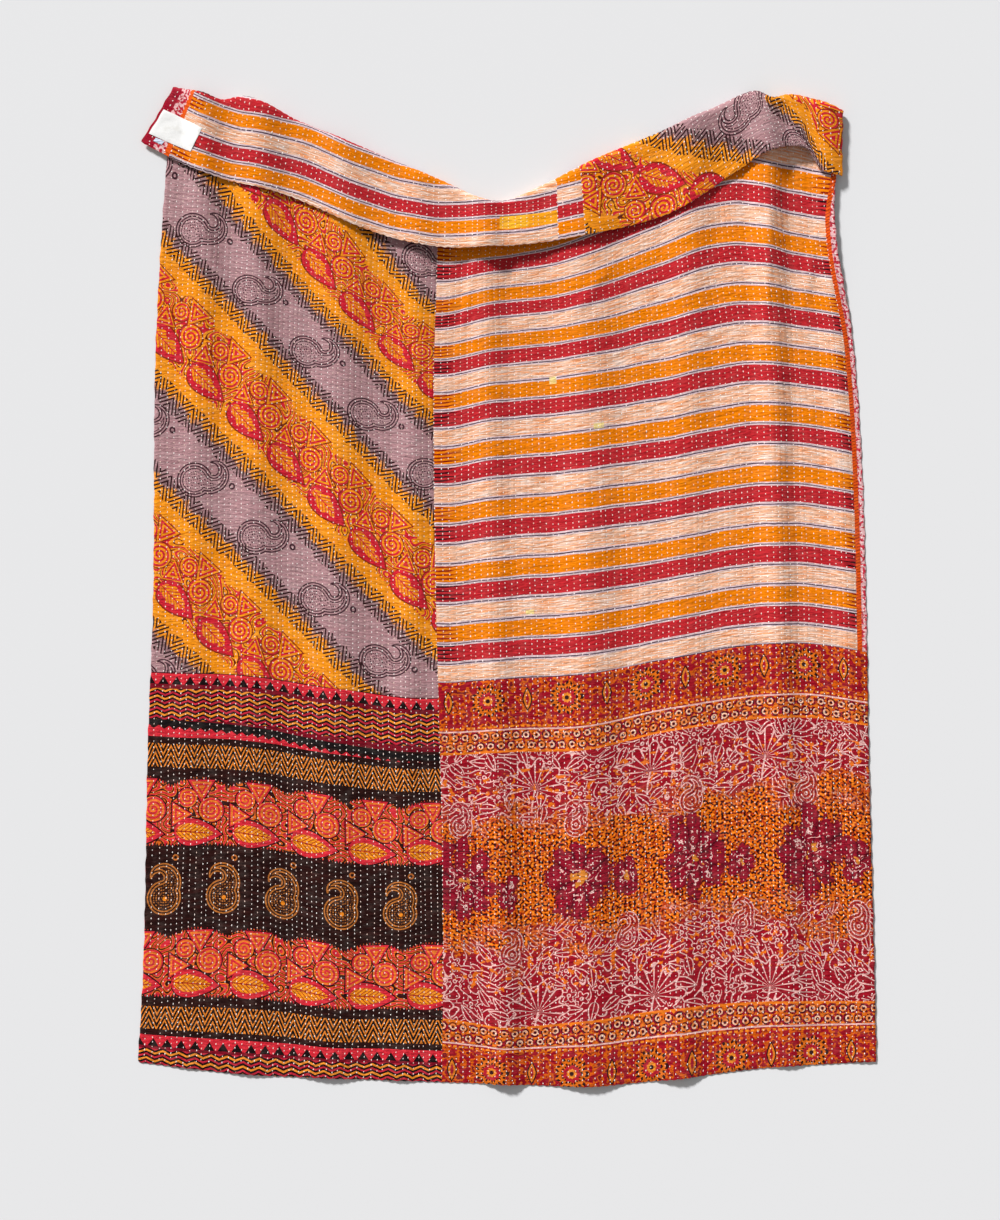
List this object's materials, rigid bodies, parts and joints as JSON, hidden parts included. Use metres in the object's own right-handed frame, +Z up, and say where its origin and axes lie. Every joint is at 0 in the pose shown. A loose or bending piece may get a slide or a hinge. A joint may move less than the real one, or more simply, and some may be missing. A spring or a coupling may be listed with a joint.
{
  "type": "folded kantha quilt",
  "caption": "Hand-stitched patchwork kantha quilt spread face up, its top end folded forward over the front, with a blank sewn label.",
  "frame": {"origin": "centre of the footprint of the quilt, on the surface it lies on", "axes": "+X to the right as the front is read, +Y from the foot hem towards the folded end, +Z up out of the front"},
  "size_m": [1.402, 1.8978, 0.0424],
  "materials": {
    "quilt_cotton": "matt printed and hand-stitched cotton",
    "label_satin": "satin",
    "tab_satin": "satin"
  },
  "bodies": {
    "root": {"quilt": "quilt_cotton", "label": "label_satin", "label_tab": "tab_satin"}
  },
  "joints": []
}
